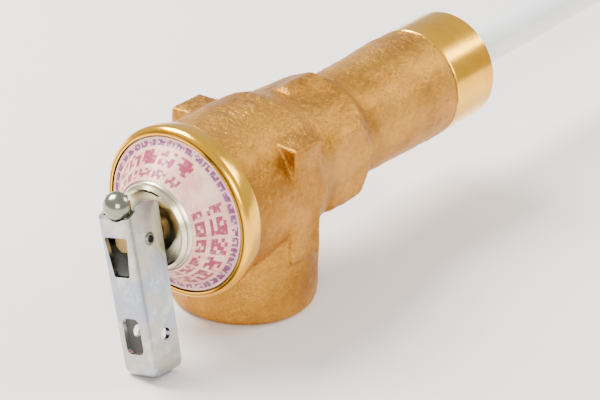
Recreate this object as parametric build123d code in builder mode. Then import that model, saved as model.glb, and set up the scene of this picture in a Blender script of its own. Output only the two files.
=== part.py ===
from build123d import *
import os
from math import cos, pi, radians, sin

# Millimetres. X runs along the valve: the inlet points to +X, the bonnet to -X, the outlet to -Z.
# The origin is on the valve axis, at the shoulder where the inlet spigot leaves the neck.

# Inlet spigot and neck
spigot_radius = 13.335
spigot_length = 15.5
spigot_chamfer = 1.0
root_groove_radius = 12.9
root_groove_width = 0.7
neck_end_radius = 13.4
neck_start_radius = 12.6
neck_start_x = -33.5
inlet_bore_radius = 8.6

# Wrench hexagon between neck and chamber
hex_across_flats = 30.0
hex_start_x = -50.5
hex_end_x = -37.0
hex_corner_cut = 3.5
hex_corner_flat_radius = 15.1
hex_rounding = 2.5

# Spring chamber
chamber_radius = 17.7
chamber_bore_radius = 13.0
chamber_floor_x = -49.0
rim_radius = 19.6
rim_back_radius = 19.2
rim_back_x = -81.8
rim_front_x = -87.1
rim_rounding = 1.7
rim_back_rounding = 0.5
rim_bore_radius = 18.35
cap_shoulder_x = -85.4
cap_thread_radius = 15.5
cap_thread_end_x = -79.4

# The chamber narrows behind the seat. A cheek with a flat face stands out on each side of it.
narrow_start_x = -58.0
narrow_middle_x = -54.5
narrow_middle_radius = 16.5
narrow_end_radius = 15.7
cheek_front_x = -68.0
cheek_back_x = -58.2
cheek_half_width = 17.4
cheek_inner_y = 11.4
cheek_top_z = 13.0
cheek_bottom_z = -14.5
cheek_rounding = 0.8

# Outlet boss
outlet_x = -63.1
outlet_face_z = -29.0
outlet_boss_radius = 16.6
outlet_bore_radius = 11.83
outlet_bore_end_z = -14.0
outlet_port_radius = 10.5
outlet_port_end_z = -6.0
outlet_rim_rounding = 2.0
outlet_mouth_chamfer = 0.8

# Seat
seat_face_x = -50.6
seat_bore_radius = 7.0
seat_lip_radius = 8.2
seat_lip_width = 0.9
seat_throat_x = -45.5
seat_throat_taper = 1.5

# Bonnet cap, printed plate, collar and stem guide
cap_flange_radius = 17.8
cap_flange_front_x = -86.6
cap_flange_back_x = -86.0
cap_foot_radius = 16.2
cap_cone_radius = 9.7
cap_cone_x = -94.1
cap_skirt_end_x = -80.4
cap_skirt_bore_radius = 11.0
cap_inner_start_x = -88.6
cap_inner_radius = 8.0
cap_inner_x = -92.0
collar_seat_radius = 5.9
collar_radius = 9.5
collar_edge = 0.7
collar_front_x = -95.4
collar_lip_radius = 8.3
collar_floor_radius = 5.6
collar_floor_x = -94.2
collar_bore_radius = 3.6
guide_bore_radius = 2.65
guide_flange_radius = 5.4
guide_flange_x = -91.0
guide_front_x = -95.1
plate_thickness = 0.3
plate_outer_radius = 17.5
plate_inner_radius = 10.2
gasket_inner_radius = 15.6

# Stem
stem_radius = 2.6
stem_outer_x = -104.2
stem_foot_radius = 3.3
stem_foot_x = -57.2
stem_foot_end_x = -59.0
stem_end_chamfer = 0.5

# Disc and its holder
disc_gap = 0.05
disc_radius = 9.2
disc_back_x = -53.2
disc_front_x = seat_face_x - disc_gap
holder_radius = 10.6
holder_rim_x = -51.7
holder_back_x = -56.6
holder_pocket_radius = 9.25
hub_radius = 5.0
hub_bore_radius = 3.6
hub_bore_end_x = -57.0
hub_end_x = -62.0
clip_front_x = -59.3
clip_back_x = -60.6
clip_bore_radius = 2.7
screw_radius = 1.6
screw_hole_radius = 1.65
screw_end_x = -55.6
screw_head_radius = 2.6
screw_head_x = -48.1
screw_slot_width = 0.8
screw_slot_depth = 0.7
washer_radius = 4.0
washer_thickness = 0.6

# Main spring and its two seats
spring_wire_radius = 1.0
spring_mean_radius = 8.4
spring_pitch = 3.6
spring_start_x = -57.6
spring_end_x = -79.2
lower_seat_radius = 10.2
lower_seat_pilot_x = -59.8
lower_seat_bore_radius = 5.05
upper_seat_radius = 12.6
upper_seat_back_x = -80.4
upper_seat_pilot_x = -77.0
upper_seat_bore_radius = 3.2
pilot_radius = 6.4

# Thermostat
tube_radius = 3.9
tube_bore_radius = 3.0
tube_start_x = -8.0
tube_end_x = 140.0
coating_radius = 4.75
coating_start_x = 11.0
coating_end_x = 144.5
coating_tip_rounding = 3.6
plug_length = 4.5
wax_start_x = -2.0
head_radius = 5.2
head_start_x = -16.0
head_end_x = -4.0
seal_start_x = -12.0
seal_end_x = -8.2
rod_radius = 1.5
rod_hole_radius = 1.55
rod_tip_x = -46.6
rod_tip_chamfer = 0.4
rod_piston_radius = 2.9
rod_piston_start_x = -6.6
rod_piston_end_x = -4.2
retainer_start_x = 3.0
retainer_end_x = 8.0
retainer_radius = 8.6
retainer_rim_width = 1.1
retainer_hub_radius = 5.6
retainer_spoke_width = 2.2
retainer_spokes = 3
retainer_spoke_length = 2.8
retainer_spoke_centre = 6.7

# Test lever. It is a channel whose closed end hangs down and leans a little to -Y and outwards.
pivot_x = -100.7
lever_lean = 15.5
lever_tilt = 3.0
lever_half_width = 4.5
lever_metal = 1.1
lever_web_out = 5.4
lever_flange_in = -4.3
lever_flange_in_end = -3.2
lever_end = 29.9
lever_web_top = -5.6
ear_tip = -8.9
ear_tip_out = -1.6
ear_shoulder = -6.6
lever_toe_rounding = 5.0
lever_bend_rounding = 1.3
lever_end_rounding = 2.6
pivot_hole_radius = 1.45
pin_radius = 1.4
pin_head_thickness = 0.35
pin_chamfer = 0.3
pin_dimple_radius = 0.8
pin_dimple_depth = 1.2
window_top = -1.6
window_bottom = 7.1
window_top_half_width = 3.2
window_bottom_half_width = 2.1
window_rounding = 0.5
slot_centre = 20.2
slot_length = 8.0
slot_width = 4.7
slot_rounding = 1.3
wire_hole = 20.9
wire_hole_out = 0.2
wire_hole_radius = 1.35
tongue_half_width = 2.6
tongue_out = 3.4
tongue_top = -10.2
tongue_root = -5.0
tongue_bend = -6.9
tongue_bend_inner = -6.6
tongue_root_inner = -4.7
button_radius = 3.1
button_side = 1.0
button_gap = 0.05
button_at = -8.3
button_centre_out = 4.1
button_shank_radius = 0.95
button_tail_radius = 1.35
button_tail_thickness = 0.6

# Longer than any cut needs, and the overlap a cut takes past the metal
through = 60.0
margin = 1.0


def half_section(points):
    """A closed outline with x along the valve and y as the radius, to be turned about X."""
    with BuildSketch(Plane.XY) as outline:
        with BuildLine():
            Polyline(*points, close=True)
        make_face()
    return outline.sketch


def sleeve(start_x, end_x, bore, radius):
    """The half section of a plain tube or, with no bore, of a rod."""
    return half_section([(start_x, bore), (start_x, radius), (end_x, radius), (end_x, bore)])


# The lever's own frame: local x runs down its length, local y outwards, local z across it.
down = Vector(0, -sin(radians(lever_lean)), -cos(radians(lever_lean)))
outward = Vector(-1, 0, 0)
along = down * cos(radians(lever_tilt)) + outward * sin(radians(lever_tilt))
out = outward * cos(radians(lever_tilt)) - down * sin(radians(lever_tilt))
lever_side = Plane(origin=(pivot_x, 0, 0), x_dir=along, z_dir=along.cross(out))
# Local x runs down the lever and local y across it, seen from outside the web.
lever_face = Plane(origin=(pivot_x, 0, 0), x_dir=along, z_dir=out)
pin_side = Plane(origin=(pivot_x, 0, 0), x_dir=(1, 0, 0), z_dir=along.cross(out))

hex_corner_radius = hex_across_flats / 2 / cos(pi / 6)

with BuildPart() as valve_body:
    revolve(half_section([
        (rim_front_x, 0),
        (rim_front_x, chamber_radius),
        (narrow_start_x, chamber_radius),
        (narrow_middle_x, narrow_middle_radius),
        (hex_start_x, narrow_end_radius),
        (hex_end_x, hex_across_flats / 2),
        (neck_start_x, neck_start_radius),
        (-root_groove_width, neck_end_radius),
        (-root_groove_width, root_groove_radius),
        (0, root_groove_radius),
        (0, spigot_radius),
        (spigot_length - spigot_chamfer, spigot_radius),
        (spigot_length, spigot_radius - spigot_chamfer),
        (spigot_length, 0),
    ]), axis=Axis.X)
    with BuildSketch(Plane.YZ.offset(hex_start_x)):
        hexagon = RegularPolygon(hex_across_flats / 2, 6, major_radius=False, rotation=30)
        fillet(hexagon.vertices(), hex_rounding)
    extrude(amount=hex_end_x - hex_start_x)
    revolve(half_section([
        (hex_end_x, hex_corner_flat_radius),
        (hex_end_x, hex_corner_radius + margin),
        (hex_end_x - hex_corner_cut, hex_corner_radius + margin),
        (hex_end_x - hex_corner_cut, hex_corner_radius),
    ]), axis=Axis.X, mode=Mode.SUBTRACT)
    for side in (-1, 1):
        with BuildSketch(Plane.YZ.offset(cheek_front_x)) as cheek_outline:
            with BuildLine():
                Polyline(
                    (side * cheek_inner_y, cheek_bottom_z),
                    (side * cheek_inner_y, (chamber_radius ** 2 - cheek_inner_y ** 2) ** 0.5),
                    (side * cheek_half_width, cheek_top_z),
                    (side * cheek_half_width, cheek_bottom_z),
                    close=True,
                )
            make_face()
            fillet(cheek_outline.vertices().sort_by_distance(
                Plane.YZ.offset(cheek_front_x).from_local_coords(
                    Vector(side * cheek_half_width, cheek_top_z, 0)))[0], cheek_rounding)
        extrude(amount=cheek_back_x - cheek_front_x)
        with BuildSketch(Plane.YZ.offset(cheek_front_x)):
            with Locations((side * (cheek_half_width + through / 2), 0)):
                Rectangle(through, through)
        extrude(amount=hex_start_x - cheek_front_x, mode=Mode.SUBTRACT)
    with BuildSketch(Plane.XY.offset(outlet_face_z)):
        with Locations((outlet_x, 0)):
            Circle(outlet_boss_radius)
    extrude(amount=-outlet_face_z)
    boss_rim = valve_body.edges().filter_by(GeomType.CIRCLE).group_by(Axis.Z)[0]
    fillet(boss_rim, outlet_rim_rounding)
    revolve(half_section([
        (rim_front_x, 0),
        (rim_front_x, rim_radius),
        (rim_back_x, rim_back_radius),
        (rim_back_x, 0),
    ]), axis=Axis.X)
    for edge_radius, rounding in ((rim_radius, rim_rounding), (rim_back_radius, rim_back_rounding)):
        rim_edges = valve_body.edges().filter_by(
            lambda edge: edge.geom_type == GeomType.CIRCLE and abs(edge.radius - edge_radius) < 0.01
        )
        fillet(rim_edges, rounding)
    revolve(half_section([
        (rim_front_x, 0),
        (rim_front_x, rim_bore_radius),
        (cap_shoulder_x, rim_bore_radius),
        (cap_shoulder_x, cap_thread_radius),
        (cap_thread_end_x, cap_thread_radius),
        (cap_thread_end_x, chamber_bore_radius),
        (chamber_floor_x, chamber_bore_radius),
        (chamber_floor_x, seat_lip_radius),
        (seat_face_x, seat_lip_radius),
        (seat_face_x, seat_lip_radius - seat_lip_width),
        (seat_face_x + seat_lip_width / 2, seat_bore_radius),
        (seat_throat_x, seat_bore_radius),
        (seat_throat_x + seat_throat_taper, inlet_bore_radius),
        (spigot_length, inlet_bore_radius),
        (spigot_length, 0),
    ]), axis=Axis.X, mode=Mode.SUBTRACT)
    with BuildSketch(Plane.XY.offset(outlet_face_z)):
        with Locations((outlet_x, 0)):
            Circle(outlet_bore_radius)
    extrude(amount=outlet_bore_end_z - outlet_face_z, mode=Mode.SUBTRACT)
    with BuildSketch(Plane.XY.offset(outlet_bore_end_z)):
        with Locations((outlet_x, 0)):
            Circle(outlet_port_radius)
    extrude(amount=outlet_port_end_z - outlet_bore_end_z, mode=Mode.SUBTRACT)
    mouth = valve_body.edges().filter_by(
        lambda edge: edge.geom_type == GeomType.CIRCLE and abs(edge.radius - outlet_bore_radius) < 0.01
    ).group_by(Axis.Z)[0]
    chamfer(mouth, outlet_mouth_chamfer)

with BuildPart() as cap_gasket:
    revolve(sleeve(cap_flange_back_x, cap_shoulder_x, gasket_inner_radius, cap_flange_radius), axis=Axis.X)

with BuildPart() as bonnet_cap:
    revolve(half_section([
        (cap_skirt_end_x, cap_skirt_bore_radius),
        (cap_skirt_end_x, cap_thread_radius),
        (cap_flange_back_x, cap_thread_radius),
        (cap_flange_back_x, cap_flange_radius),
        (cap_flange_front_x, cap_flange_radius),
        (cap_flange_front_x, cap_foot_radius),
        (cap_cone_x, cap_cone_radius),
        (cap_cone_x, collar_seat_radius),
        (cap_inner_x, collar_seat_radius),
        (cap_inner_x, cap_inner_radius),
        (cap_inner_start_x, cap_skirt_bore_radius),
    ]), axis=Axis.X)

plate_share = (cap_foot_radius - plate_inner_radius) / (cap_foot_radius - cap_cone_radius)
plate_inner_x = cap_flange_front_x + plate_share * (cap_cone_x - cap_flange_front_x)

with BuildPart() as label_plate:
    revolve(half_section([
        (cap_flange_front_x, plate_outer_radius),
        (cap_flange_front_x - plate_thickness, plate_outer_radius),
        (cap_flange_front_x - plate_thickness, cap_foot_radius),
        (plate_inner_x - plate_thickness, plate_inner_radius),
        (plate_inner_x, plate_inner_radius),
        (cap_flange_front_x, cap_foot_radius),
    ]), axis=Axis.X)

with BuildPart() as bonnet_collar:
    revolve(half_section([
        (cap_inner_x, collar_bore_radius),
        (cap_inner_x, collar_seat_radius),
        (cap_cone_x, collar_seat_radius),
        (cap_cone_x, collar_radius),
        (collar_front_x + collar_edge, collar_radius),
        (collar_front_x, collar_radius - collar_edge),
        (collar_front_x, collar_lip_radius),
        (collar_floor_x, collar_floor_radius),
        (collar_floor_x, collar_bore_radius),
    ]), axis=Axis.X)

with BuildPart() as stem_guide:
    revolve(half_section([
        (guide_flange_x, guide_bore_radius),
        (guide_flange_x, guide_flange_radius),
        (cap_inner_x, guide_flange_radius),
        (cap_inner_x, collar_bore_radius),
        (guide_front_x, collar_bore_radius),
        (guide_front_x, guide_bore_radius),
    ]), axis=Axis.X)

with BuildPart() as stem:
    revolve(half_section([
        (stem_foot_x, 0),
        (stem_foot_x, stem_foot_radius),
        (stem_foot_end_x, stem_foot_radius),
        (stem_foot_end_x, stem_radius),
        (stem_outer_x + stem_end_chamfer, stem_radius),
        (stem_outer_x, stem_radius - stem_end_chamfer),
        (stem_outer_x, 0),
    ]), axis=Axis.X)
    with BuildSketch(pin_side):
        Circle(pin_radius)
    extrude(amount=through, both=True, mode=Mode.SUBTRACT)

with BuildPart() as stem_clip:
    revolve(sleeve(clip_front_x, clip_back_x, clip_bore_radius, hub_bore_radius), axis=Axis.X)

with BuildPart() as disc_holder:
    revolve(half_section([
        (holder_rim_x, holder_pocket_radius),
        (holder_rim_x, holder_radius),
        (holder_back_x, holder_radius),
        (holder_back_x, hub_radius),
        (hub_end_x, hub_radius),
        (hub_end_x, hub_bore_radius),
        (hub_bore_end_x, hub_bore_radius),
        (hub_bore_end_x, 0),
        (screw_end_x, 0),
        (screw_end_x, screw_radius),
        (disc_back_x, screw_radius),
        (disc_back_x, holder_pocket_radius),
    ]), axis=Axis.X)

with BuildPart() as seat_disc:
    revolve(sleeve(disc_back_x, disc_front_x, screw_hole_radius, disc_radius), axis=Axis.X)

with BuildPart() as disc_washer:
    revolve(
        sleeve(disc_front_x, disc_front_x + washer_thickness, screw_hole_radius, washer_radius),
        axis=Axis.X,
    )

with BuildPart() as disc_screw:
    revolve(half_section([
        (screw_end_x, 0),
        (screw_end_x, screw_radius),
        (disc_front_x + washer_thickness, screw_radius),
        (disc_front_x + washer_thickness, screw_head_radius),
        (screw_head_x, screw_head_radius),
        (screw_head_x, 0),
    ]), axis=Axis.X)
    with BuildSketch(Plane.YZ.offset(screw_head_x - screw_slot_depth)):
        Rectangle(screw_slot_width, 2 * (screw_head_radius + margin))
    extrude(amount=screw_slot_depth, mode=Mode.SUBTRACT)

with BuildPart() as lower_spring_seat:
    revolve(half_section([
        (holder_back_x, lower_seat_bore_radius),
        (holder_back_x, lower_seat_radius),
        (spring_start_x, lower_seat_radius),
        (spring_start_x, pilot_radius),
        (lower_seat_pilot_x, pilot_radius),
        (lower_seat_pilot_x, lower_seat_bore_radius),
    ]), axis=Axis.X)

with BuildPart() as upper_spring_seat:
    revolve(half_section([
        (upper_seat_back_x, upper_seat_bore_radius),
        (upper_seat_back_x, upper_seat_radius),
        (spring_end_x, upper_seat_radius),
        (spring_end_x, pilot_radius),
        (upper_seat_pilot_x, pilot_radius),
        (upper_seat_pilot_x, upper_seat_bore_radius),
    ]), axis=Axis.X)

spring_height = spring_start_x - spring_end_x

with BuildPart() as main_spring:
    with BuildLine():
        coil = Helix(
            pitch=spring_pitch,
            height=spring_height,
            radius=spring_mean_radius,
            center=(spring_end_x, 0, 0),
            direction=(1, 0, 0),
        )
    with BuildSketch(Plane(origin=coil @ 0, z_dir=coil % 0)):
        Circle(spring_wire_radius)
    sweep(path=coil, is_frenet=True)
    for face_x, side in ((spring_start_x, 1), (spring_end_x, -1)):
        with BuildSketch(Plane.YZ.offset(face_x)):
            Circle(2 * spring_mean_radius)
        extrude(amount=side * 4 * spring_wire_radius, mode=Mode.SUBTRACT)

with BuildPart() as probe_retainer:
    revolve(sleeve(retainer_start_x, retainer_end_x, retainer_radius - retainer_rim_width,
                   retainer_radius), axis=Axis.X)
    revolve(sleeve(retainer_start_x, retainer_end_x, tube_radius, retainer_hub_radius), axis=Axis.X)
    with BuildSketch(Plane.YZ.offset(retainer_start_x)):
        with PolarLocations(retainer_spoke_centre, retainer_spokes):
            Rectangle(retainer_spoke_length, retainer_spoke_width)
    extrude(amount=retainer_end_x - retainer_start_x)

with BuildPart() as probe_head:
    revolve(half_section([
        (head_start_x, rod_hole_radius),
        (head_start_x, head_radius),
        (head_end_x, head_radius),
        (head_end_x, tube_radius),
        (tube_start_x, tube_radius),
        (seal_start_x, tube_radius),
        (seal_start_x, rod_hole_radius),
    ]), axis=Axis.X)

with BuildPart() as rod_seal:
    revolve(sleeve(seal_start_x, seal_end_x, rod_hole_radius, tube_radius), axis=Axis.X)

with BuildPart() as push_rod:
    revolve(half_section([
        (rod_tip_x, 0),
        (rod_tip_x, rod_radius - rod_tip_chamfer),
        (rod_tip_x + rod_tip_chamfer, rod_radius),
        (rod_piston_start_x, rod_radius),
        (rod_piston_start_x, rod_piston_radius),
        (rod_piston_end_x, rod_piston_radius),
        (rod_piston_end_x, 0),
    ]), axis=Axis.X)

with BuildPart() as probe_tube:
    revolve(sleeve(tube_start_x, tube_end_x, tube_bore_radius, tube_radius), axis=Axis.X)

with BuildPart() as thermostat_wax:
    revolve(sleeve(wax_start_x, tube_end_x - plug_length, 0, tube_bore_radius), axis=Axis.X)

with BuildPart() as probe_plug:
    revolve(sleeve(tube_end_x - plug_length, tube_end_x, 0, tube_bore_radius), axis=Axis.X)

with BuildPart() as probe_coating:
    revolve(half_section([
        (coating_start_x, tube_radius),
        (coating_start_x, coating_radius),
        (coating_end_x, coating_radius),
        (coating_end_x, 0),
        (tube_end_x, 0),
        (tube_end_x, tube_radius),
    ]), axis=Axis.X)
    fillet(probe_coating.edges().filter_by(GeomType.CIRCLE).group_by(Axis.X)[-1], coating_tip_rounding)

with BuildPart() as test_lever:
    with BuildSketch(lever_side):
        with BuildLine():
            Polyline(
                (lever_web_top, lever_web_out),
                (ear_tip, ear_tip_out),
                (ear_shoulder, lever_flange_in),
                (lever_end, lever_flange_in_end),
                (lever_end, lever_web_out),
                close=True,
            )
        side_outline = make_face()
        fillet(side_outline.vertices().sort_by_distance(
            lever_side.from_local_coords(Vector(lever_end, lever_flange_in_end, 0)))[0], lever_toe_rounding)
    extrude(amount=lever_half_width, both=True)
    bend_edges = test_lever.edges().filter_by(
        lambda edge: abs((edge % 0.5).dot(along)) > 0.999
        and abs((edge @ 0.5 - lever_side.origin).dot(out) - lever_web_out) < 0.01
    )
    fillet(bend_edges, lever_bend_rounding)
    end_edges = test_lever.edges().filter_by(
        lambda edge: abs((edge % 0.5).dot(out)) > 0.999
        and abs((edge @ 0.5 - lever_side.origin).dot(along) - lever_end) < 0.01
    )
    fillet(end_edges, lever_end_rounding)
    with BuildSketch(lever_side):
        with Locations((lever_end - lever_metal, lever_web_out - lever_metal)):
            Rectangle(through, through, align=(Align.MAX, Align.MAX))
    extrude(amount=lever_half_width - lever_metal, both=True, mode=Mode.SUBTRACT)
    with BuildSketch(lever_side):
        Circle(pivot_hole_radius)
        with Locations((wire_hole, wire_hole_out)):
            Circle(wire_hole_radius)
    extrude(amount=through, both=True, mode=Mode.SUBTRACT)
    with BuildSketch(lever_face) as window_outline:
        with BuildLine():
            Polyline(
                (window_top, -window_top_half_width),
                (window_top, window_top_half_width),
                (window_bottom, window_bottom_half_width),
                (window_bottom, -window_bottom_half_width),
                close=True,
            )
        make_face()
        fillet(window_outline.vertices(), window_rounding)
        with Locations((slot_centre, 0)):
            RectangleRounded(slot_length, slot_width, slot_rounding)
    extrude(amount=through, mode=Mode.SUBTRACT)
    with BuildSketch(lever_side):
        with BuildLine():
            Polyline(
                (tongue_root, lever_web_out),
                (tongue_bend, tongue_out),
                (tongue_top, tongue_out),
                (tongue_top, tongue_out - lever_metal),
                (tongue_bend_inner, tongue_out - lever_metal),
                (tongue_root_inner, lever_web_out - lever_metal),
                close=True,
            )
        make_face()
    extrude(amount=tongue_half_width, both=True)
    with BuildSketch(lever_face):
        with Locations((button_at, button_side)):
            Circle(button_shank_radius)
    extrude(amount=lever_web_out, mode=Mode.SUBTRACT)
    with BuildSketch(lever_face.offset(tongue_out)):
        with Locations((button_at, button_side)):
            Circle(button_radius + button_gap)
    extrude(amount=lever_web_out, mode=Mode.SUBTRACT)

with BuildPart() as lever_pin:
    with BuildSketch(pin_side):
        Circle(pin_radius)
    extrude(amount=lever_half_width + pin_head_thickness, both=True)
    chamfer(lever_pin.edges().filter_by(GeomType.CIRCLE), pin_chamfer)
    for end in (-1, 1):
        with BuildSketch(pin_side.offset(end * (lever_half_width + pin_head_thickness))):
            Circle(pin_dimple_radius)
        extrude(amount=-end * pin_dimple_depth, mode=Mode.SUBTRACT)

button_origin = lever_face.from_local_coords(Vector(button_at, button_side, 0))
button_axis = Plane(origin=button_origin, x_dir=along, z_dir=out)

with BuildPart() as lever_button:
    with Locations(button_axis.location * Location((0, 0, button_centre_out))):
        Sphere(button_radius)
    with BuildSketch(button_axis.offset(tongue_out)):
        Circle(2 * button_radius)
    extrude(amount=-3 * button_radius, mode=Mode.SUBTRACT)
    with BuildSketch(button_axis.offset(tongue_out - lever_metal - button_tail_thickness)):
        Circle(button_tail_radius)
    extrude(amount=button_tail_thickness)
    with BuildSketch(button_axis.offset(tongue_out - lever_metal)):
        Circle(button_shank_radius)
    extrude(amount=lever_metal)

pieces = {
    "valve_body": valve_body,
    "cap_gasket": cap_gasket,
    "bonnet_cap": bonnet_cap,
    "label_plate": label_plate,
    "bonnet_collar": bonnet_collar,
    "stem_guide": stem_guide,
    "stem": stem,
    "stem_clip": stem_clip,
    "disc_holder": disc_holder,
    "seat_disc": seat_disc,
    "disc_washer": disc_washer,
    "disc_screw": disc_screw,
    "lower_spring_seat": lower_spring_seat,
    "upper_spring_seat": upper_spring_seat,
    "main_spring": main_spring,
    "probe_retainer": probe_retainer,
    "probe_head": probe_head,
    "rod_seal": rod_seal,
    "push_rod": push_rod,
    "probe_tube": probe_tube,
    "thermostat_wax": thermostat_wax,
    "probe_plug": probe_plug,
    "probe_coating": probe_coating,
    "test_lever": test_lever,
    "lever_pin": lever_pin,
    "lever_button": lever_button,
}

os.makedirs("parts", exist_ok=True)
for piece_name, piece in pieces.items():
    piece.part.label = piece_name
    export_step(piece.part, f"parts/{piece_name}.step")
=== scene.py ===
import math

import bmesh
import bpy
import numpy as np
from mathutils import Matrix, Vector


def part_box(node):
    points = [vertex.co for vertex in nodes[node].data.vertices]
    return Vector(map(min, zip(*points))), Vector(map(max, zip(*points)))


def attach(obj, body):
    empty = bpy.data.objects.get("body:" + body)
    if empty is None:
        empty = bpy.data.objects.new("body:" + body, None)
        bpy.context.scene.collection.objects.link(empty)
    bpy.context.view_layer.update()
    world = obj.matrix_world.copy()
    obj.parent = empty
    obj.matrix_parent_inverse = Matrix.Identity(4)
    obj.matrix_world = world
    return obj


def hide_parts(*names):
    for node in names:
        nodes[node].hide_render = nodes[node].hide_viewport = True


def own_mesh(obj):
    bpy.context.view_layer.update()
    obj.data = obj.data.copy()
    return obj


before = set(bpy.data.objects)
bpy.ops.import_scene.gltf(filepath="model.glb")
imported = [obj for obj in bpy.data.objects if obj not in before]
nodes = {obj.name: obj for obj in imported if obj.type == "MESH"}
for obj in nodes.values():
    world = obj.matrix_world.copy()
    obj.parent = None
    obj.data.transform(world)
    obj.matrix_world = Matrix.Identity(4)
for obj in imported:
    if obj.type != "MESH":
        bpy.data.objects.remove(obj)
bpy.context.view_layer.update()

MM = 0.001

# ---------------------------------------------------------------- sizes
# Lengths are in millimetres here, unless the name ends in _M for metres.
SKIN_VOXEL = 0.35
SKIN_SMOOTHING = 9
SMOOTHING_STEP = 0.6

# Where the casting's machined faces start, so that they keep their shape.
RIM_FACE_X = -80.8
RIM_FADE = 1.2
SHOULDER_X = -0.8
SHOULDER_FADE = 1.0
MOUTH_Z = -28.2
MOUTH_FADE = 1.2
BORE_RADIUS = 11.8

# The skin under the two machined bands.
SPIGOT_COVER_X = 0.1
RIM_COVER_X = -81.9
COVER_RADIUS = 12.0
DRAWN_IN = 0.985
SKIN_LOW_X = -86.9
SKIN_HIGH_X = 15.2

# Sand-cast relief: (height in mm, wave length in metres, seed).
RELIEF = ((0.10, 0.009, 3), (0.035, 0.0028, 5), (0.03, 0.0013, 7))
RELIEF_WAVES = 24

SPIGOT_OUTLINE = [(0.0, 12.2), (0.0, 13.15), (0.18, 13.335), (14.5, 13.335), (15.35, 12.48), (15.5, 12.2),
                  (15.5, 8.9), (15.2, 8.62), (13.0, 8.62), (13.0, 12.2)]
RIM_ARC_X = -85.4
RIM_ARC_CENTRE = 17.9
RIM_ROUNDING = 1.7
RIM_BACK = [(-81.8, 18.2), (-81.8, 18.8), (-81.95, 19.1), (-82.3, 19.25), (-85.35, 19.59)]
RIM_FRONT = [(-87.1, 18.5), (-86.95, 18.35), (-84.5, 18.35), (-84.5, 18.2)]
LATHE_STEPS = 160
SHARP_ANGLE = math.radians(28)

LEVER_PIVOT_X_M = -0.1007
LEVER_LEAN = math.radians(15.5)
LEVER_TILT = math.radians(3.0)
LEVER_DOWN = Vector((0, -math.sin(LEVER_LEAN), -math.cos(LEVER_LEAN)))
LEVER_OUT = Vector((-1, 0, 0)) * math.cos(LEVER_TILT) - LEVER_DOWN * math.sin(LEVER_TILT)
LEVER_ACROSS = LEVER_DOWN.cross(Vector((-1, 0, 0)))
LEVER_INNER_HALF_M = 0.00355
LEVER_WEB_INNER_M = 0.00435

# The printed ring's blank sector, and the radii of its rows in metres.
BLANK_SECTOR = math.radians(132)
BLANK_COS = math.cos(math.radians(17))
PRINT_EDGE_M = 0.00006
WORD_SHARE = 0.84
OUTER_BAND_M = (0.0158, 0.0172)
HAIRLINE_M = (0.01555, 0.01568)

RIM_WALL_M = (0.0181, 0.0183, 0.0185, 0.0188)
FLANGE_SHADE_M = (0.0171, 0.0174)
CUP_SHADE_M = (0.0080, 0.0055)

FLOOR_HALF_M = 3.0
WORLD_COLOUR = (1.0, 0.965, 0.93, 1)
WORLD_STRENGTH = 0.85

# name, place, point it faces, size, power, colour
LIGHTS = (("key", (-0.15, 0.45, 0.60), (-0.05, 0, 0), (0.40, 0.40), 15.0, (1, 0.98, 0.95)),
          ("far_side", (0.42, -0.34, 0.45), (-0.03, 0, 0), (0.30, 0.30), 3.0, (1, 0.97, 0.92)),
          ("fill", (-0.60, -0.45, 0.30), (-0.06, 0, 0), (0.35, 0.35), 3.5, (0.95, 0.97, 1.0)))

CAMERA_AT = Vector((-478.9, -323.1, 266.0)) * MM
AZIMUTH, ELEVATION, ROLL = (math.radians(v) for v in (-53.466, 27.282, 1.865))
LENS = 161.6
SENSOR_WIDTH = 36
CLIP_START_M = 0.02


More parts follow.
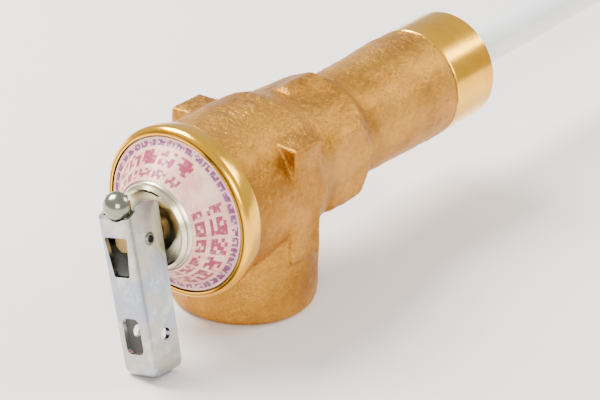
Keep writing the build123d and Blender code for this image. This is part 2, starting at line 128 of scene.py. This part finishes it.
# ---------------------------------------------------------------- node helpers
class Graph:
    """A small wrapper to build a material's node tree."""

    def __init__(self, name):
        self.mat = bpy.data.materials.new(name)
        self.mat.use_nodes = True
        self.tree = self.mat.node_tree
        self.tree.nodes.clear()
        self.out = self.tree.nodes.new("ShaderNodeOutputMaterial")
        self.bsdf = self.tree.nodes.new("ShaderNodeBsdfPrincipled")
        self.link(self.bsdf.outputs[0], self.out.inputs[0])
        self.at = self.tree.nodes.new("ShaderNodeTexCoord").outputs["Object"]

    def link(self, a, b):
        self.tree.links.new(a, b)

    def put(self, socket, value):
        """Links a socket, or sets a colour or a number."""
        if isinstance(value, bpy.types.NodeSocket):
            self.link(value, socket)
        elif isinstance(value, (tuple, list)) and len(value) == 3 and socket.type == "RGBA":
            socket.default_value = (*value, 1)
        else:
            socket.default_value = value

    def noise(self, scale, detail=4, rough=0.55, distortion=0.0, at=None):
        n = self.tree.nodes.new("ShaderNodeTexNoise")
        n.inputs["Scale"].default_value = scale
        n.inputs["Detail"].default_value = detail
        n.inputs["Roughness"].default_value = rough
        n.inputs["Distortion"].default_value = distortion
        self.link(at or self.at, n.inputs["Vector"])
        return n.outputs["Fac"]

    def cells(self, scale):
        n = self.tree.nodes.new("ShaderNodeTexVoronoi")
        n.inputs["Scale"].default_value = scale
        self.link(self.at, n.inputs["Vector"])
        return n.outputs["Distance"]

    def math(self, op, a, b=0.0, c=0.0):
        n = self.tree.nodes.new("ShaderNodeMath")
        n.operation = op
        for socket, value in zip(n.inputs, (a, b, c)):
            self.put(socket, value)
        return n.outputs[0]

    def ramp(self, fac, low, high, a=0.0, b=1.0):
        """fac from low..high mapped to a..b, smooth and clamped."""
        n = self.tree.nodes.new("ShaderNodeMapRange")
        n.interpolation_type = "SMOOTHSTEP"
        for socket, value in zip(n.inputs[:5], (fac, low, high, a, b)):
            self.put(socket, value)
        return n.outputs[0]

    def mix(self, fac, a, b):
        n = self.tree.nodes.new("ShaderNodeMix")
        n.data_type = "RGBA"
        self.put(n.inputs[0], fac)
        self.put(n.inputs[6], a)
        self.put(n.inputs[7], b)
        return n.outputs[2]

    def xyz(self):
        n = self.tree.nodes.new("ShaderNodeSeparateXYZ")
        self.link(self.at, n.inputs[0])
        return n.outputs[0], n.outputs[1], n.outputs[2]

    def radius(self):
        """Distance from the valve's axis, in metres."""
        _, y, z = self.xyz()
        return self.math("SQRT", self.math("ADD", self.math("MULTIPLY", y, y), self.math("MULTIPLY", z, z)))

    def scaled(self, x, y, z):
        n = self.tree.nodes.new("ShaderNodeMapping")
        n.inputs["Scale"].default_value = (x, y, z)
        self.link(self.at, n.inputs["Vector"])
        return n.outputs[0]

    def bump(self, height, strength, distance):
        n = self.tree.nodes.new("ShaderNodeBump")
        n.inputs["Strength"].default_value = strength
        n.inputs["Distance"].default_value = distance
        self.link(height, n.inputs["Height"])
        return n.outputs[0]

    def finish(self, colour, metallic, rough, normal=None):
        self.put(self.bsdf.inputs["Base Color"], colour)
        self.put(self.bsdf.inputs["Metallic"], metallic)
        self.put(self.bsdf.inputs["Roughness"], rough)
        if normal is not None:
            self.link(normal, self.bsdf.inputs["Normal"])
        return self.mat


def paint(obj, mat):
    obj.data.materials.clear()
    obj.data.materials.append(mat)


# ---------------------------------------------------------------- materials
def metal(name, colour, dark, rough):
    """Bare metal with soft dark spots and fine scratches."""
    g = Graph(name)
    fine = g.noise(1.0, 6, 0.6, at=g.scaled(900, 900, 900))
    tone = g.mix(g.ramp(g.noise(160, 4), 0.45, 0.75, 0.0, 0.3), colour, dark)
    return g.finish(tone, 1.0, g.math("MULTIPLY_ADD", fine, 0.15, rough), g.bump(fine, 0.12, 0.00004))


def plain(name, colour, dark, rough, scale=300, bump=0.1):
    """A mottled material that isn't metal."""
    g = Graph(name)
    mottle = g.noise(scale, 5)
    tone = g.mix(g.ramp(mottle, 0.35, 0.7), colour, dark)
    return g.finish(tone, 0.0, g.math("MULTIPLY_ADD", mottle, 0.12, rough), g.bump(mottle, bump, 0.00005))


def turned_plate(name, shade_radii, shade_share, shade, colours, spots, rough):
    """Turned bright metal, painted dark past a radius to stand for the shade that falls there."""
    g = Graph(name)
    tone = g.mix(g.ramp(g.noise(160, 4), 0.45, 0.75, 0.0, spots), *colours)
    tone = g.mix(g.ramp(g.radius(), *shade_radii, 0.0, shade_share), tone, shade)
    fine = g.noise(1.0, 6, 0.6, at=g.scaled(3000, 300, 300))
    return g.finish(tone, 1.0, g.math("MULTIPLY_ADD", fine, 0.15, rough), g.bump(fine, 0.12, 0.00004))


def cast_bronze():
    """Sand-cast skin: a tan bronze with fine grain, darker in its pits, and painted darker in hollows."""
    tan, brown = (0.60, 0.29, 0.042), (0.35, 0.145, 0.014)
    bright_grain, pit = (0.82, 0.44, 0.07), (0.17, 0.06, 0.007)
    hollow_shade = (0.12, 0.04, 0.008)
    g = Graph("cast_bronze")
    fine = g.noise(1700, 6, 0.7)
    sand = g.noise(700, 5, 0.65)
    broad = g.noise(60, 5, 0.6)
    pits = g.ramp(g.cells(1000), 0.0, 0.4)
    skin = g.mix(g.ramp(broad, 0.35, 0.68), tan, brown)
    skin = g.mix(g.ramp(sand, 0.5, 0.75, 0.0, 0.45), skin, bright_grain)
    skin = g.mix(g.ramp(fine, 0.32, 0.48, 0.45, 0.0), skin, pit)
    hollow = g.tree.nodes.new("ShaderNodeNewGeometry").outputs["Pointiness"]
    skin = g.mix(g.ramp(hollow, 0.49, 0.44, 0.0, 0.85), skin, hollow_shade)
    rough = g.math("MULTIPLY_ADD", sand, 0.22, 0.30)
    grain = g.math("ADD", sand, g.math("MULTIPLY", fine, 0.5))
    grain = g.math("ADD", grain, g.math("MULTIPLY", pits, 0.3))
    return g.finish(skin, 1.0, rough, g.bump(grain, 0.75, 0.00035))


def turned_gold():
    """Machined bronze with turning lines round the valve's axis. The rim's inner wall is painted dark as
    painted shade.
    """
    bright, deep, wall_shade = (0.98, 0.53, 0.035), (0.80, 0.37, 0.018), (0.16, 0.045, 0.008)
    g = Graph("turned_gold")
    tone = g.mix(g.ramp(g.noise(90, 3), 0.4, 0.7, 0.0, 0.7), bright, deep)
    start, full, fade, end = RIM_WALL_M
    wall = g.math("MULTIPLY", g.ramp(g.radius(), start, full), g.ramp(g.radius(), end, fade))
    tone = g.mix(g.math("MULTIPLY", wall, 0.8), tone, wall_shade)
    lines = g.noise(1.0, 3, 0.5, at=g.scaled(7000, 40, 40))
    return g.finish(tone, 1.0, g.math("MULTIPLY_ADD", lines, 0.16, 0.10), g.bump(lines, 0.2, 0.00006))


def printed_plate():
    """Foil plate printed in rings. The marks are plain blocks in rows, not letters."""
    g = Graph("printed_plate")
    _, y, z = g.xyz()
    radius = g.radius()
    angle = g.math("ARCTAN2", z, y)

    def band(low, high):
        return g.math("MULTIPLY", g.ramp(radius, low, low + PRINT_EDGE_M),
                      g.ramp(radius, high, high - PRINT_EDGE_M))

    def marks(low, high, count, across, up, fill, seed):
        """Rows of small blocks: count words round the ring, each across x up blocks."""
        turn = g.math("MULTIPLY", angle, count / (2 * math.pi))
        block_u = g.math("FLOOR", g.math("MULTIPLY", turn, across))
        block_v = g.math("FLOOR", g.math("MULTIPLY", g.math("SUBTRACT", radius, low), up / (high - low)))
        joined = g.tree.nodes.new("ShaderNodeCombineXYZ")
        g.put(joined.inputs[0], block_u)
        g.put(joined.inputs[1], block_v)
        joined.inputs[2].default_value = seed
        white = g.tree.nodes.new("ShaderNodeTexWhiteNoise")
        g.link(joined.outputs[0], white.inputs["Vector"])
        on = g.math("LESS_THAN", white.outputs["Value"], fill)
        word = g.math("LESS_THAN", g.math("FRACT", turn), WORD_SHARE)
        return g.math("MULTIPLY", g.math("MULTIPLY", on, word), band(low, high))

    tone = g.mix(g.ramp(g.noise(260, 4), 0.4, 0.65), (0.84, 0.42, 0.32), (0.96, 0.60, 0.42))
    tone = g.mix(g.math("MULTIPLY", band(*OUTER_BAND_M), 0.35), tone, (0.60, 0.36, 0.52))
    tone = g.mix(marks(0.0157, 0.0170, 40, 5, 3, 0.74, 1.0), tone, (0.22, 0.05, 0.16))
    blank = g.math("GREATER_THAN", g.math("COSINE", g.math("SUBTRACT", angle, BLANK_SECTOR)), BLANK_COS)
    printed = g.math("SUBTRACT", 1.0, blank)
    for row, ink in (((0.0128, 0.0152, 18, 5, 5, 0.72, 2.0), (0.36, 0.03, 0.09)),
                     ((0.0107, 0.0122, 18, 5, 4, 0.68, 3.0), (0.34, 0.04, 0.08))):
        tone = g.mix(g.math("MULTIPLY", marks(*row), printed), tone, ink)
    tone = g.mix(g.math("MULTIPLY", band(*HAIRLINE_M), 0.7), tone, (0.55, 0.22, 0.38))
    tone = g.mix(g.ramp(g.noise(1400, 4), 0.5, 0.7, 0.0, 0.25), tone, (0.95, 0.84, 0.78))
    return g.finish(tone, 0.1, 0.4, g.bump(g.noise(900, 4), 0.15, 0.00003))


def between_flanges(g):
    """1 on the lever's inner faces, where shade is painted, 0 on its outside. The lever's section is a
    channel set a little askew.
    """
    place = g.tree.nodes.new("ShaderNodeMapping")
    place.inputs["Location"].default_value = (-LEVER_PIVOT_X_M, 0, 0)
    g.link(g.at, place.inputs["Vector"])

    def distance(way):
        dot = g.tree.nodes.new("ShaderNodeVectorMath")
        dot.operation = "DOT_PRODUCT"
        g.link(place.outputs[0], dot.inputs[0])
        dot.inputs[1].default_value = way
        return dot.outputs["Value"]

    inner = g.math("LESS_THAN", g.math("ABSOLUTE", distance(LEVER_ACROSS)), LEVER_INNER_HALF_M)
    behind_web = g.math("LESS_THAN", distance(LEVER_OUT), LEVER_WEB_INNER_M)
    return g.math("MULTIPLY", inner, behind_web)


def zinc_plate():
    """Grey zinc with bluish and straw patches and rubbing marks. The channel's inside is painted dark as
    painted shade.
    """
    bluish, straw = (0.36, 0.40, 0.49), (0.47, 0.46, 0.41)
    rubbed, stain, inside = (0.74, 0.74, 0.74), (0.22, 0.22, 0.22), (0.035, 0.045, 0.045)
    g = Graph("zinc_lever")
    tone = g.mix(g.ramp(g.noise(110, 3, 0.5, 0.6), 0.38, 0.62), bluish, straw)
    tone = g.mix(g.ramp(g.noise(380, 5, 0.6), 0.5, 0.72, 0.0, 0.55), tone, rubbed)
    tone = g.mix(g.ramp(g.noise(55, 3), 0.56, 0.72, 0.0, 0.6), tone, stain)
    # Painted shade: the channel's inner faces are painted near black.
    tone = g.mix(g.math("MULTIPLY", between_flanges(g), 0.85), tone, inside)
    rub = g.noise(1.0, 5, 0.6, at=g.scaled(900, 900, 160))
    rough = g.math("MULTIPLY_ADD", rub, 0.2, 0.12)
    return g.finish(tone, 1.0, rough, g.bump(g.math("ADD", rub, g.noise(300, 3)), 0.16, 0.00008))


def paint_nodes():
    """Gives every CAD node its material. Returns the materials that the pieces made here share."""
    bronze = cast_bronze()
    brass = metal("turned_brass", (0.88, 0.60, 0.24), (0.62, 0.38, 0.13), 0.2)
    # Brass painted dark: painted shade on the stem and its guide, which sit deep inside the collar.
    brass_painted_shade = metal("brass_painted_shade", (0.34, 0.23, 0.09), (0.14, 0.09, 0.035), 0.35)
    plated = metal("plated_steel", (0.74, 0.74, 0.70), (0.52, 0.52, 0.50), 0.25)
    wire = metal("spring_wire", (0.55, 0.55, 0.56), (0.36, 0.36, 0.38), 0.25)
    rubber = plain("seat_rubber", (0.03, 0.03, 0.03), (0.05, 0.05, 0.05), 0.6)
    finishes = {
        "valve_body": bronze,
        "cap_gasket": plain("gasket_fibre", (0.10, 0.04, 0.03), (0.16, 0.07, 0.05), 0.8, 900, 0.5),
        "bonnet_cap": turned_plate("cap_metal", FLANGE_SHADE_M, 0.92, (0.10, 0.03, 0.006),
                                   ((0.74, 0.72, 0.66), (0.50, 0.48, 0.44)), 0.5, 0.22),
        "label_plate": printed_plate(),
        "bonnet_collar": turned_plate("collar_metal", CUP_SHADE_M, 0.85, (0.10, 0.09, 0.05),
                                      ((0.80, 0.73, 0.50), (0.46, 0.42, 0.28)), 0.6, 0.16),
        "stem_guide": brass_painted_shade,
        "stem": brass_painted_shade,
        "stem_clip": brass,
        "disc_holder": brass,
        "seat_disc": rubber,
        "disc_washer": plated,
        "disc_screw": plated,
        "lower_spring_seat": plated,
        "upper_spring_seat": plated,
        "main_spring": wire,
        "probe_retainer": brass,
        "probe_head": brass,
        "rod_seal": rubber,
        "push_rod": plated,
        "probe_tube": metal("copper", (0.80, 0.44, 0.28), (0.55, 0.27, 0.15), 0.25),
        "thermostat_wax": plain("wax", (0.80, 0.72, 0.50), (0.70, 0.60, 0.38), 0.5),
        "probe_plug": brass,
        "probe_coating": plain("white_coating", (0.94, 0.95, 0.96), (0.88, 0.89, 0.91), 0.28, 60),
        "test_lever": zinc_plate(),
        # The pin's steel is painted dark: painted shade and painted dark reflection.
        "lever_pin": metal("pin_steel_painted_shade", (0.20, 0.20, 0.19), (0.08, 0.08, 0.08), 0.3),
        # The button is painted dark olive: painted shade and painted dark reflection.
        "lever_button": metal("button_metal_painted_shade", (0.30, 0.31, 0.24), (0.14, 0.15, 0.10), 0.12),
    }
    for name, mat in finishes.items():
        paint(nodes[name], mat)
    return bronze, turned_gold(), wire


# ---------------------------------------------------------------- the casting and its machined bands
def linked(name, mesh):
    """A new object in the scene that shows mesh."""
    obj = bpy.data.objects.new(name, mesh)
    bpy.context.collection.objects.link(obj)
    return obj


def smooth(mesh):
    for face in mesh.polygons:
        face.use_smooth = True


def lathe(name, outline, mat):
    """A closed ring about the valve's axis from a closed outline of (x, radius) in millimetres."""
    turns = np.linspace(0, 2 * math.pi, LATHE_STEPS, endpoint=False)
    points = [(x * MM, r * math.cos(t) * MM, r * math.sin(t) * MM) for t in turns for x, r in outline]
    count = len(outline)
    faces = []
    for i in range(LATHE_STEPS):
        here, there = i * count, (i + 1) % LATHE_STEPS * count
        for k in range(count):
            m = (k + 1) % count
            faces.append((here + k, here + m, there + m, there + k))
    mesh = bpy.data.meshes.new(name)
    mesh.from_pydata(points, [], faces)
    mesh.update()
    solid = bmesh.new()
    solid.from_mesh(mesh)
    bmesh.ops.recalc_face_normals(solid, faces=solid.faces)
    solid.to_mesh(mesh)
    solid.free()
    obj = linked(name, mesh)
    paint(obj, mat)
    smooth(mesh)
    mesh.set_sharp_from_angle(angle=SHARP_ANGLE)
    return obj


def machined_bands(gold):
    """The turned spigot and the rim, as rings over the casting's skin."""
    arc = [(RIM_ARC_X - RIM_ROUNDING * math.sin(math.radians(a)),
            RIM_ARC_CENTRE + RIM_ROUNDING * math.cos(math.radians(a))) for a in range(10, 91, 10)]
    for name, outline in (("spigot_band", SPIGOT_OUTLINE), ("rim_band", RIM_BACK + arc + RIM_FRONT)):
        band = lathe(name, outline, gold)
        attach(band, "valve")


def apply_modifiers(obj):
    """Replaces obj's mesh with the result of its modifiers."""
    depsgraph = bpy.context.evaluated_depsgraph_get()
    mesh = bpy.data.meshes.new_from_object(obj.evaluated_get(depsgraph))
    obj.modifiers.clear()
    obj.data = mesh


def bumps(points, size, seed):
    """Smooth seeded heights, mostly between -1 and 1, made of sine waves about size metres long."""
    rng = np.random.default_rng(seed)
    total = np.zeros(len(points))
    for _ in range(RELIEF_WAVES):
        way = rng.normal(size=3)
        way /= np.linalg.norm(way)
        wave_number = 2 * math.pi / (size * rng.uniform(0.7, 1.4))
        total += np.sin(points @ way * wave_number + rng.uniform(0, 6.283))
    return total / math.sqrt(RELIEF_WAVES)


def read_vectors(items, field):
    """A field of three numbers for each item, as rows."""
    values = np.empty(len(items) * 3)
    items.foreach_get(field, values)
    return values.reshape(-1, 3)


def softness(points):
    """How freely each point may move: 0 on the machined ends, in the bores and at the mouth, 1 elsewhere."""
    x = points[:, 0] / MM
    soft = np.clip((x - RIM_FACE_X) / RIM_FADE, 0, 1) * np.clip((SHOULDER_X - x) / SHOULDER_FADE, 0, 1)
    soft *= np.clip((points[:, 2] / MM - MOUTH_Z) / MOUTH_FADE, 0, 1)
    soft *= np.where(np.hypot(points[:, 1], points[:, 2]) / MM < BORE_RADIUS, 0.0, 1.0)
    return soft[:, None]


def relax(points, mesh, soft):
    """Draws each point towards the mean of its neighbours."""
    edges = np.empty(len(mesh.edges) * 2, dtype=int)
    mesh.edges.foreach_get("vertices", edges)
    edges = edges.reshape(-1, 2)
    degree = np.bincount(edges.ravel(), minlength=len(points))[:, None]
    for _ in range(SKIN_SMOOTHING):
        total = np.zeros_like(points)
        np.add.at(total, edges[:, 0], points[edges[:, 1]])
        np.add.at(total, edges[:, 1], points[edges[:, 0]])
        points = points + soft * SMOOTHING_STEP * (total / degree - points)
    return points


def cast_skin(bronze):
    """The casting with its edges softened and a sand-cast surface, made from the CAD body."""
    obj = linked("cast_skin", nodes["valve_body"].data.copy())
    remesh = obj.modifiers.new("remesh", "REMESH")
    remesh.mode = "VOXEL"
    remesh.voxel_size = SKIN_VOXEL * MM
    apply_modifiers(obj)
    mesh = obj.data
    start = read_vectors(mesh.vertices, "co")
    soft = softness(start)
    points = relax(start, mesh, soft)
    mesh.vertices.foreach_set("co", points.ravel())
    mesh.update()
    normals = read_vectors(mesh.vertices, "normal")
    height = sum(size * bumps(points, length, seed) for size, length, seed in RELIEF)
    points = points + normals * soft * height[:, None] * MM
    # The machined bands are separate rings, so the skin draws in under them.
    x = start[:, 0] / MM
    radius = np.hypot(start[:, 1], start[:, 2]) / MM
    under = (x > SPIGOT_COVER_X) | (x < RIM_COVER_X)
    points[under & (radius > COVER_RADIUS), 1:] *= DRAWN_IN
    points[:, 0] = np.clip(points[:, 0], SKIN_LOW_X * MM, SKIN_HIGH_X * MM)
    mesh.vertices.foreach_set("co", points.ravel())
    mesh.update()
    smooth(mesh)
    paint(obj, bronze)
    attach(obj, "valve")
    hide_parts("valve_body")


def working_spring(wire):
    """A copy of the main spring, with a mesh of its own, shown in the main spring's place."""
    obj = linked("working_spring", nodes["main_spring"].data.copy())
    paint(obj, wire)
    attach(obj, "valve")
    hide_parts("main_spring")
    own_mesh(obj)


# ---------------------------------------------------------------- floor, light, camera
def studio():
    """An even pale world and a plain paper floor at the outlet's face."""
    world = bpy.data.worlds.new("studio")
    bpy.context.scene.world = world
    world.use_nodes = True
    background = world.node_tree.nodes["Background"]
    background.inputs[0].default_value = WORLD_COLOUR
    background.inputs[1].default_value = WORLD_STRENGTH
    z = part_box("valve_body")[0][2]
    corners = [(u * FLOOR_HALF_M, v * FLOOR_HALF_M, z) for u, v in ((-1, -1), (1, -1), (1, 1), (-1, 1))]
    mesh = bpy.data.meshes.new("floor")
    mesh.from_pydata(corners, [], [(0, 1, 2, 3)])
    floor = linked("floor", mesh)
    g = Graph("paper")
    paint(floor, g.finish(g.mix(g.noise(4, 2), (0.94, 0.90, 0.87), (0.95, 0.91, 0.88)), 0.0, 0.8))


def area(name, where, towards, size, power, colour):
    """A rectangular light that faces a point."""
    data = bpy.data.lights.new(name, "AREA")
    data.shape = "RECTANGLE"
    data.size, data.size_y = size
    data.energy = power
    data.color = colour
    obj = linked(name, data)
    obj.location = where
    obj.rotation_mode = "QUATERNION"
    obj.rotation_quaternion = (Vector(towards) - Vector(where)).to_track_quat("-Z", "Y")


def place_camera():
    """The camera at the fitted place, with its roll about the line of sight."""
    back = Vector((math.sin(AZIMUTH) * math.cos(ELEVATION), -math.cos(AZIMUTH) * math.cos(ELEVATION),
                   math.sin(ELEVATION)))
    level = Vector((math.cos(AZIMUTH), math.sin(AZIMUTH), 0))
    upright = back.cross(level)
    right = level * math.cos(ROLL) + upright * math.sin(ROLL)
    up = upright * math.cos(ROLL) - level * math.sin(ROLL)
    data = bpy.data.cameras.new("camera")
    data.lens = LENS
    data.sensor_width = SENSOR_WIDTH
    data.clip_start = CLIP_START_M
    camera = linked("camera", data)
    camera.matrix_world = Matrix.Translation(CAMERA_AT) @ Matrix((right, up, back)).transposed().to_4x4()
    bpy.context.scene.camera = camera


bronze_mat, gold_mat, wire_mat = paint_nodes()
cast_skin(bronze_mat)
machined_bands(gold_mat)
working_spring(wire_mat)
studio()
for light in LIGHTS:
    area(*light)
place_camera()
